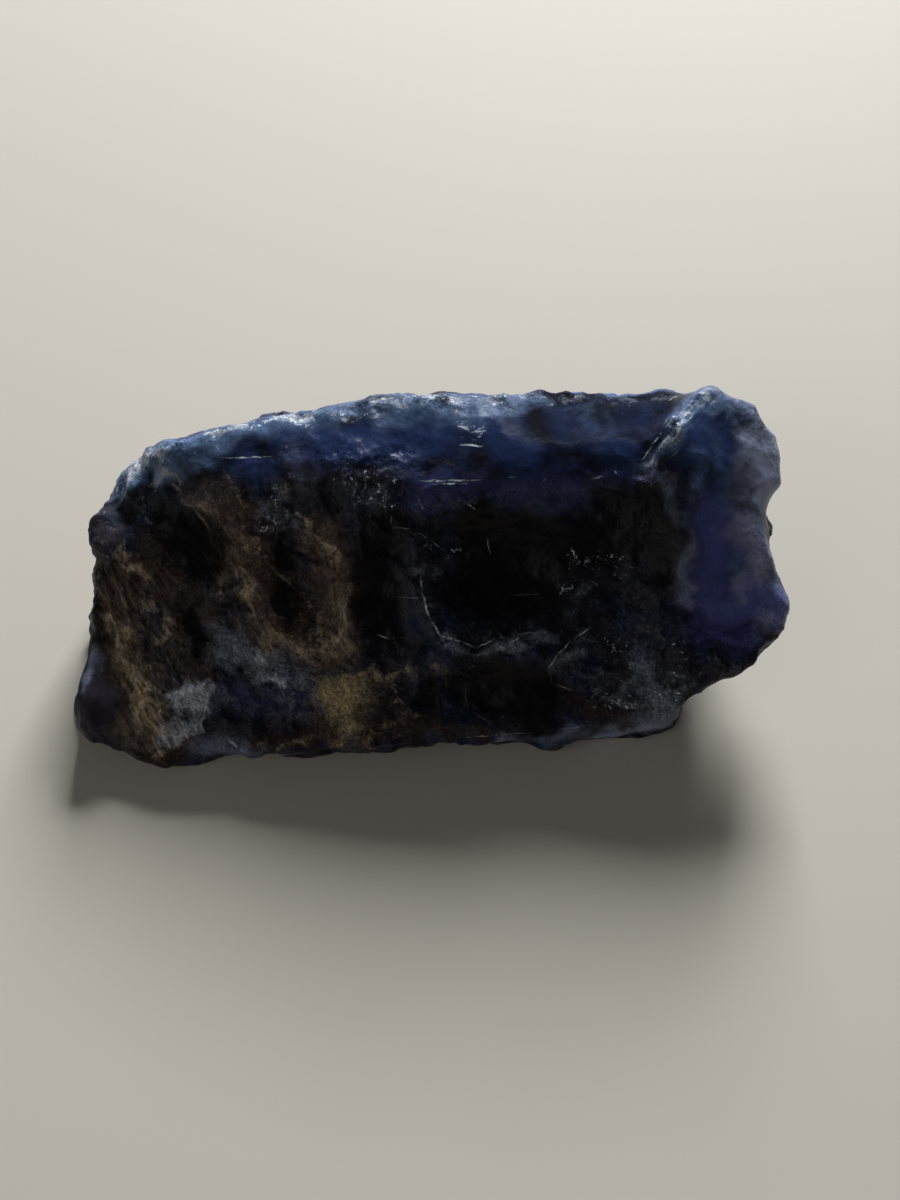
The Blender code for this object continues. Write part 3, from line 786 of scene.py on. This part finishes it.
def mesh_places(mesh):
    """The mesh's vertices in millimetres, as an array."""
    return as_array(mesh.vertices, "co") / MM


def mesh_normals(mesh):
    """The mesh's vertex normals, as an array."""
    return as_array(mesh.vertex_normals, "vector")


def move_vertices(mesh, places):
    """Puts the mesh's vertices at places in millimetres."""
    mesh.vertices.foreach_set("co", (places * MM).astype(np.float32).ravel())
    mesh.update()


def chip_relief(place, chips):
    """How far out the skin stands where each small flake has left a shallow bowl, tilted its own way."""
    here = place / chips.width
    _, seeds = noise.voronoi(here)
    bowls = []
    for seed in seeds:
        away = here - seed
        tilt = chips.tilt * noise.cell_vector(seed * TILT_DRAW).dot(away)
        level = chips.step * (noise.cell(seed * LEVEL_DRAW) - 0.5)
        bowls.append(away.length_squared / CHIP_RADIUS ** 2 + tilt + level)
    return chips.depth * (min(*bowls, CHIP_TOP) - CHIP_MEAN)


def fibre_relief(place):
    """How far out the thin fibres of the left end stand."""
    along = place.dot(FIBRE_DIRECTION)
    across = place - FIBRE_DIRECTION * along
    ridge = noise.noise(across / FIBRE_WIDTH + FIBRE_DIRECTION * (along / FIBRE_LENGTH))
    return FIBRE_DEPTH * (abs(ridge) - FIBRE_MEAN)


def add_object(name, data):
    """Puts a new object in the scene."""
    thing = bpy.data.objects.new(name, data)
    bpy.context.scene.collection.objects.link(thing)
    return thing


def refined_stone(source):
    """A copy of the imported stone, rebuilt as an even skin of small faces and smoothed."""
    thing = add_object(PIECE, source.data.copy())
    step = thing.modifiers.new("skin", "REMESH")
    step.mode = "VOXEL"
    step.voxel_size = VOXEL * MM
    smooth = thing.modifiers.new("smooth", "SMOOTH")
    smooth.factor = SKIN_RATE
    smooth.iterations = SKIN_ROUNDS
    graph = bpy.context.evaluated_depsgraph_get()
    made = bpy.data.meshes.new_from_object(thing.evaluated_get(graph))
    thing.modifiers.clear()
    thing.data = made
    made.name = PIECE
    return thing


def swell(places, width, apart=Vector()):
    """Slow noise from -1 to 1 at each place."""
    return np.array([noise.noise(place / width + apart) for place in places])


def carry_rim_back(fields, skin, places, normals):
    """Carries the rim's painted sheen and a fuller blue on over to the back, where the skin faces the
    window, and gives how much painted sheen there is.
    """
    width, depth = RIM_SWELL
    facing = ease(normals[:, 1], *RIM_FACING)
    sheen_share = field(skin, places, (RIM_PAINTED_SHEEN,)) * facing
    blue = field(skin, places, (RIM_BLUE,)) * facing
    fields["painted_sheen"] = np.maximum(fields["painted_sheen"], sheen_share * (1 + depth * swell(places, width)))
    fields["royal"] = np.maximum(fields["royal"], blue)
    fields["clear"] = np.maximum(fields["clear"], blue)
    return sheen_share


def mark_unseen_side(fields, skin, places, normals):
    """Gives the side that the photograph does not show the same kinds of marks, laid out by noise."""
    sheen_share = carry_rim_back(fields, skin, places, normals)
    away = -(normals @ np.array(sight_axes()[2]))
    unseen = ease(away, *UNSEEN_FACING) * (1 - sheen_share)
    for i, (name, (width, low, high, strength)) in enumerate((UNSEEN_BANDS | UNSEEN_PATCHES).items()):
        height = swell(places, width, UNSEEN_APART * (i + 1))
        if name in UNSEEN_BANDS:
            height = np.abs(height)
        fields[name] = np.maximum(fields[name], unseen * strength * ease(height, low, high))


def ledge_steps(skin, places):
    """The fine steps beside the block, from -1 to 1."""
    away = distances(places, along_mark(skin, LEDGE))
    return np.cos(2 * math.pi * away / LEDGE_PITCH) * (1 - ease(away, LEDGE_CORE, LEDGE.reach))


def add_relief(mesh, fields):
    """Breaks the smooth skin into small flakes, fibres and ridges."""
    places = mesh_places(mesh)
    normals = mesh_normals(mesh)
    vectors = [Vector(place) for place in places]
    lively = CALM_SHARE + (1 - CALM_SHARE) * (1 - fields["calm"])
    lively *= ease(places[:, 2], *BASE_FADE)
    fine = np.array([chip_relief(v, FINE_CHIPS) for v in vectors])
    grain = np.array([chip_relief(v + GRAIN_SHIFT, GRAIN_CHIPS) for v in vectors])
    crumbling = np.maximum(np.maximum(fields["slate"], fields["pale"]), fields["glint"])
    chips = fine + grain * (1 + CRUMBLING * crumbling)
    fibres = np.array([fibre_relief(v) for v in vectors])
    fibrous = fields["fibrous"]
    out = lively * (chips * (1 - FIBRES_FOR_CHIPS * fibrous) + fibres * fibrous)
    out += RIDGE_HEIGHT * fields["ridge"] + fields["full"]
    out += LEDGE_DEPTH * fields["ledge_height"]
    move_vertices(mesh, places + normals * out[:, None])


def neighbour_mean(mesh):
    """A function that gives, for values at the vertices, the mean at each vertex's neighbours."""
    pairs = np.empty(len(mesh.edges) * 2, np.int32)
    mesh.edges.foreach_get("vertices", pairs)
    one, other = pairs.reshape(-1, 2).T
    size = len(mesh.vertices)
    count = np.bincount(one, minlength=size) + np.bincount(other, minlength=size)

    def mean(values):
        columns = [np.bincount(one, values[other, i], size) + np.bincount(other, values[one, i], size)
                   for i in range(values.shape[1])]
        return np.stack(columns, 1) / count[:, None]

    return mean


def smooth_calm_places(mesh, calm):
    """Rubs the skin smooth where it is calm."""
    mean = neighbour_mean(mesh)
    places = mesh_places(mesh)
    for _ in range(CALM_ROUNDS):
        places += (mean(places) - places) * calm[:, None] * CALM_RATE
    move_vertices(mesh, places)


def edge_wear(mesh):
    """How sharply the skin stands out at each vertex, from the way the smoothed skin falls below it."""
    places = mesh_places(mesh)
    mean = neighbour_mean(mesh)
    smoothed = places.copy()
    for _ in range(EDGE_ROUNDS):
        smoothed += (mean(smoothed) - smoothed) * EDGE_RATE
    out = np.einsum("ij,ij->i", places - smoothed, mesh_normals(mesh))
    return np.clip(out / EDGE_HEIGHT, 0, EDGE_MOST)


def add_attribute(mesh, name, values):
    """Keeps a value for each vertex, for the material."""
    mesh.attributes.new(name, "FLOAT", "POINT").data.foreach_set("value", values.astype(np.float32))


class Graph:
    """Makes a material's nodes with short calls."""

    def __init__(self, name):
        self.material = bpy.data.materials.new(name)
        self.material.use_nodes = True
        self.tree = self.material.node_tree
        self.shader = self.tree.nodes["Principled BSDF"]
        coordinates = self.node("TexCoord").outputs["Object"]
        self.place = self.vector("SCALE", coordinates, scale=1 / MM)

    def node(self, kind):
        """A new node."""
        return self.tree.nodes.new("ShaderNode" + kind)

    def feed(self, socket, value):
        """Sets a socket to a value, or links it."""
        if isinstance(value, bpy.types.NodeSocket):
            self.tree.links.new(value, socket)
        elif isinstance(value, tuple) and len(value) == 3 and socket.type == "RGBA":
            socket.default_value = (*value, 1)
        else:
            socket.default_value = value

    def vector(self, operation, a, b=None, scale=None, output="Vector"):
        """A step of vector arithmetic."""
        node = self.node("VectorMath")
        node.operation = operation
        self.feed(node.inputs[0], a)
        if b is not None:
            self.feed(node.inputs[1], b)
        if scale is not None:
            self.feed(node.inputs["Scale"], scale)
        return node.outputs[output]

    def math(self, operation, a, b, clamp=False):
        """A step of arithmetic."""
        node = self.node("Math")
        node.operation = operation
        node.use_clamp = clamp
        self.feed(node.inputs[0], a)
        self.feed(node.inputs[1], b)
        return node.outputs[0]

    def times(self, value, *others):
        """Values multiplied."""
        for other in others:
            value = self.math("MULTIPLY", value, other)
        return value

    def less(self, value, share):
        """What is left of 1 when a share of a value is taken away."""
        return self.math("SUBTRACT", 1.0, self.times(value, share))

    def drawn_out(self, share):
        """The place squeezed along the fibres, which draws a noise out that way."""
        along = self.vector("DOT_PRODUCT", self.place, tuple(FIBRE_DIRECTION), output="Value")
        back = self.vector("SCALE", tuple(FIBRE_DIRECTION), scale=self.times(along, -share))
        return self.vector("ADD", self.place, back)

    def noise(self, grain, output="Fac"):
        """The noise that a grain describes, from 0 to 1."""
        place = self.place
        if grain.shift:
            place = self.vector("ADD", place, tuple(grain.shift * way for way in SHIFT_WAY))
        if grain.drawn:
            place = self.drawn_out(grain.drawn)
        node = self.node("TexNoise")
        self.feed(node.inputs["Vector"], place)
        node.inputs["Scale"].default_value = 1 / grain.width
        node.inputs["Detail"].default_value = grain.detail
        node.inputs["Roughness"].default_value = grain.roughness
        return node.outputs[output]

    def cells(self, width):
        """The distance from the middle of cells about so many millimetres wide."""
        node = self.node("TexVoronoi")
        self.feed(node.inputs["Vector"], self.place)
        node.inputs["Scale"].default_value = 1 / width
        return node.outputs["Distance"]

    def step(self, value, low, high):
        """Rises smoothly from 0 at low to 1 at high."""
        node = self.node("MapRange")
        node.interpolation_type = "SMOOTHSTEP"
        self.feed(node.inputs["Value"], value)
        node.inputs["From Min"].default_value = low
        node.inputs["From Max"].default_value = high
        return node.outputs["Result"]

    def spots(self, grain, more=None):
        """Where a grain is high, from 0 to 1, with more added to it if any is given."""
        value = self.noise(grain)
        if more is not None:
            value = self.math("ADD", value, more)
        return self.step(value, grain.low, grain.high)

    def line(self, skin, line, place):
        """Where a thin line lies: towards 1 along its middle, and 0 beside and beyond it."""
        start, end = under_pixel(skin, line.start), under_pixel(skin, line.end)
        along = (end - start).normalized()
        across = sight_axes()[2].cross(along).normalized()
        axes = Matrix((along, across, along.cross(across))).transposed()
        mapping = self.node("Mapping")
        mapping.vector_type = "TEXTURE"
        self.feed(mapping.inputs["Vector"], place)
        mapping.inputs["Location"].default_value = (start + end) / 2
        mapping.inputs["Rotation"].default_value = axes.to_euler()
        mapping.inputs["Scale"].default_value = ((end - start).length / 2, line.half_width, LINE_REACH)
        gradient = self.node("TexGradient")
        gradient.gradient_type = "SPHERICAL"
        self.feed(gradient.inputs["Vector"], mapping.outputs["Vector"])
        return self.times(gradient.outputs["Fac"], line.strength)

    def lines(self, skin, lines, place):
        """Where any of the thin lines lies."""
        found = self.line(skin, lines[0], place)
        for line in lines[1:]:
            found = self.math("MAXIMUM", found, self.line(skin, line, place))
        return self.step(found, *LINE_EDGE)

    def field(self, name):
        """A value kept for each vertex."""
        node = self.node("Attribute")
        node.attribute_name = name
        return node.outputs["Fac"]

    def blend(self, share, a, b):
        """Value a turning to value b."""
        node = self.node("Mix")
        self.feed(node.inputs[0], share)
        self.feed(node.inputs[2], a)
        self.feed(node.inputs[3], b)
        return node.outputs[0]

    def mix(self, share, a, b):
        """Colour a turning to colour b."""
        node = self.node("Mix")
        node.data_type = "RGBA"
        self.feed(node.inputs[0], share)
        self.feed(node.inputs[6], a)
        self.feed(node.inputs[7], b)
        return node.outputs[2]

    def patch(self, name, fray, low, high, fraying):
        """Where a field is high, with its edge frayed by a noise."""
        rough = self.times(self.math("SUBTRACT", fray, 0.5), fraying)
        return self.step(self.math("ADD", self.field(name), rough), low, high)

    def bump(self, height, depth):
        """A bump of so many millimetres."""
        node = self.node("Bump")
        node.inputs["Strength"].default_value = 1.0
        node.inputs["Distance"].default_value = depth * MM
        self.feed(node.inputs["Height"], height)
        return node.outputs["Normal"]


def frayings(g):
    """The noises that fray the layers' edges, by name."""
    middle = g.noise(MIDDLE_GRAIN)
    crumbs = g.noise(CRUMB_GRAIN)
    torn = g.blend(g.step(g.field("fibrous"), *TORN_EDGE), crumbs, g.noise(STRAND_GRAIN))
    return {
        "coarse": g.noise(COARSE_GRAIN),
        "middle": middle,
        "ragged": g.blend(SMALL_SHARE, middle, torn),
        "crumbly": g.blend(SMALL_SHARE, middle, crumbs),
    }


def ground_colour(g, coarse):
    """Near-black and deep blue rock, with a smoky veil where it is not clear."""
    veil = g.math("SUBTRACT", SMOKE_COVER, g.times(g.field("clear"), SMOKE_COVER))
    colour = g.mix(g.step(coarse, *BLUE_EDGE), NAVY, BLUE)
    return g.mix(g.times(g.spots(SMOKE_GRAIN), veil), colour, SMOKE)


def lay_over(g, colour, frays, fine):
    """Lays each kind of rock over the colour. Gives the colour and how much of each kind there is."""
    shares = {}
    for layer in LAYERS:
        share = g.patch(layer.field, frays[layer.fray], layer.low, layer.high, layer.fraying)
        share = g.times(share, layer.cover)
        shares[layer.field] = share
        painted = layer.colour
        if layer.field == "brown":
            painted = g.mix(g.step(fine, *DEEP_BROWN_EDGE), painted, DEEP_BROWN)
        colour = g.mix(share, colour, painted)
    return colour, shares


def streaks(g, dark):
    """How much the pale streaks along the fibres show, which keep out of the dark hollows."""
    fibrous = g.times(g.field("fibrous"), STREAK_COVER)
    return g.times(g.spots(STREAK_GRAIN), fibrous, g.math("SUBTRACT", 1.0, dark))


def worn_edges(g, fine):
    """How much the edges are rubbed pale."""
    return g.times(g.step(g.field("edge"), *WORN_EDGE), g.step(fine, *WORN_GRAIN_EDGE), WORN_COVER)


def specks(g, middle):
    """Where painted glints lie, pale specks in place of small crystal faces flashing, in groups, and closer
    together where the stone sparkles.
    """
    sparkle = g.field("sparkle")
    more = g.times(sparkle, SPARKLE_MORE)
    flashing = g.math("MAXIMUM", g.spots(DOT_GRAIN, more), g.spots(FLASH_GRAIN, more))
    groups = g.spots(GROUP_GRAIN, g.times(sparkle, SPARKLE_WIDER))
    return g.times(flashing, groups, g.patch("glint", middle, *GLINT_EDGE, GLINT_FRAYING))


def draw_lines(g, colour, skin):
    """Draws the thin veins, and the painted highlights of the bright scratches, edges and steps, over the
    colour, swinging and broken.
    """
    swung = g.vector("SCALE", g.noise(SWING_GRAIN, "Color"), scale=SWING)
    place = g.vector("ADD", g.vector("ADD", g.place, swung), (-SWING / 2, -SWING / 2, -SWING / 2))
    unbroken = g.spots(BREAK_GRAIN)
    colour = g.mix(g.times(g.lines(skin, THREADS, place), unbroken), colour, THREAD)
    return g.mix(g.times(g.lines(skin, GLEAMS, place), unbroken), colour, GLEAM)


def grit(g, lively):
    """What the colour is multiplied by for light and dark grains, drawn out where the rock is fibrous."""
    share = g.math("ADD", g.times(g.field("fibrous"), SPLINTERS_MORE), SPLINTERS_LEAST)
    grains = g.blend(share, g.spots(GRIT_GRAIN), g.spots(SPLINTER_GRAIN))
    change = g.times(g.math("SUBTRACT", grains, 0.5), g.times(lively, GRIT))
    return g.math("ADD", change, 1.0)


def roughness(g, middle, shares):
    """Waxy, smoother where the rock is glassy and rougher where it is matt or dull."""
    waxy = g.math("ADD", g.times(middle, WAXY_SPREAD), WAXY)
    waxy = g.times(waxy, g.less(g.field("glassy"), GLASSY_SMOOTHER))
    matt = shares[MATT[0]]
    for name in MATT[1:]:
        matt = g.math("MAXIMUM", matt, shares[name])
    rougher = g.math("ADD", g.times(matt, MATT_ROUGHER), g.times(g.field("dull"), DULL_ROUGHER))
    return g.math("ADD", waxy, rougher, clamp=True)


def stone_material(skin):
    """Deep blue, waxy stone with brown matrix, pale veins and bruised edges, and with painted glints, sheen,
    glow, highlights and shade.
    """
    g = Graph("lapis")
    frays = frayings(g)
    fine = g.noise(FINE_GRAIN)
    lively = g.less(g.field("calm"), CALM_LOOKS)
    colour, shares = lay_over(g, ground_colour(g, frays["coarse"]), frays, fine)
    colour = g.mix(streaks(g, shares["dark"]), colour, STREAK)
    colour = g.mix(g.times(g.spots(PIT_GRAIN), PIT_COVER, lively), colour, PIT)
    colour = g.mix(worn_edges(g, fine), colour, WORN)
    colour = g.mix(specks(g, frays["middle"]), colour, PAINTED_GLINT)
    colour = draw_lines(g, colour, skin)
    g.feed(g.shader.inputs["Base Color"], g.vector("SCALE", colour, scale=grit(g, lively)))
    g.feed(g.shader.inputs["Roughness"], roughness(g, frays["middle"], shares))
    g.shader.inputs["IOR"].default_value = IOR
    g.shader.inputs["Specular IOR Level"].default_value = GLOSS
    height = g.math("ADD", g.times(fine, BUMP_BY_GRAIN), g.times(g.cells(BUMP_CELL), BUMP_BY_CELLS))
    g.feed(g.shader.inputs["Normal"], g.bump(g.times(height, lively), BUMP_DEPTH))
    return g.material


def stone_skin():
    """The visible stone."""
    thing = refined_stone(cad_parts[NODE])
    mesh = thing.data
    places = [Vector(place) for place in mesh_places(mesh)]
    skin = BVHTree.FromPolygons(places, [face.vertices for face in mesh.polygons])
    wandered = wandering(places)
    fields = {name: field(skin, wandered, marks) for name, marks in MARKS.items()}
    mark_unseen_side(fields, skin, places, mesh_normals(mesh))
    fields["ledge_height"] = ledge_steps(skin, places)
    smooth_calm_places(mesh, fields["calm"])
    add_relief(mesh, fields)
    fields["edge"] = edge_wear(mesh)
    for name, values in fields.items():
        add_attribute(mesh, name, values)
    mesh.materials.clear()
    mesh.materials.append(stone_material(skin))
    mesh.shade_smooth()
    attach(thing, "root")
    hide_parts(NODE)


def floor():
    """A plain pale floor."""
    bpy.ops.mesh.primitive_plane_add(size=FLOOR_SIDE, location=(0, 0, 0))
    thing = bpy.context.object
    thing.name = "floor"
    g = Graph("floor")
    g.feed(g.shader.inputs["Base Color"], FLOOR_COLOUR)
    g.shader.inputs["Roughness"].default_value = FLOOR_ROUGHNESS
    thing.data.materials.append(g.material)


def hang(lamp):
    """Puts a lamp in its place."""
    data = bpy.data.lights.new(lamp.name, "AREA")
    data.shape = "RECTANGLE"
    data.size, data.size_y = lamp.sides
    data.energy = lamp.power
    data.color = lamp.colour
    thing = add_object(lamp.name, data)
    thing.location = lamp.place
    thing.rotation_euler = (-Vector(lamp.place)).to_track_quat("-Z", "Y").to_euler()


def light():
    """The lamps, and weak light from all round."""
    for lamp in LAMPS:
        hang(lamp)
    world = bpy.data.worlds.new("room")
    world.use_nodes = True
    background = world.node_tree.nodes["Background"]
    background.inputs["Color"].default_value = (*SKY_COLOUR, 1)
    background.inputs["Strength"].default_value = SKY_STRENGTH
    bpy.context.scene.world = world
    bpy.context.scene.view_settings.view_transform = "Standard"


def camera():
    """The photograph's view."""
    data = bpy.data.cameras.new("camera")
    data.sensor_width = SENSOR
    data.lens = SENSOR * EYE_DISTANCE * PIXELS_PER_MM / PHOTO_LONG_SIDE
    data.clip_start = NEAREST_SEEN * MM
    thing = add_object("camera", data)
    thing.location = eye_place() * MM
    thing.rotation_euler = (math.pi / 2 - SIGHT_ELEVATION, 0, 0)
    bpy.context.scene.camera = thing


stone_skin()
floor()
light()
camera()
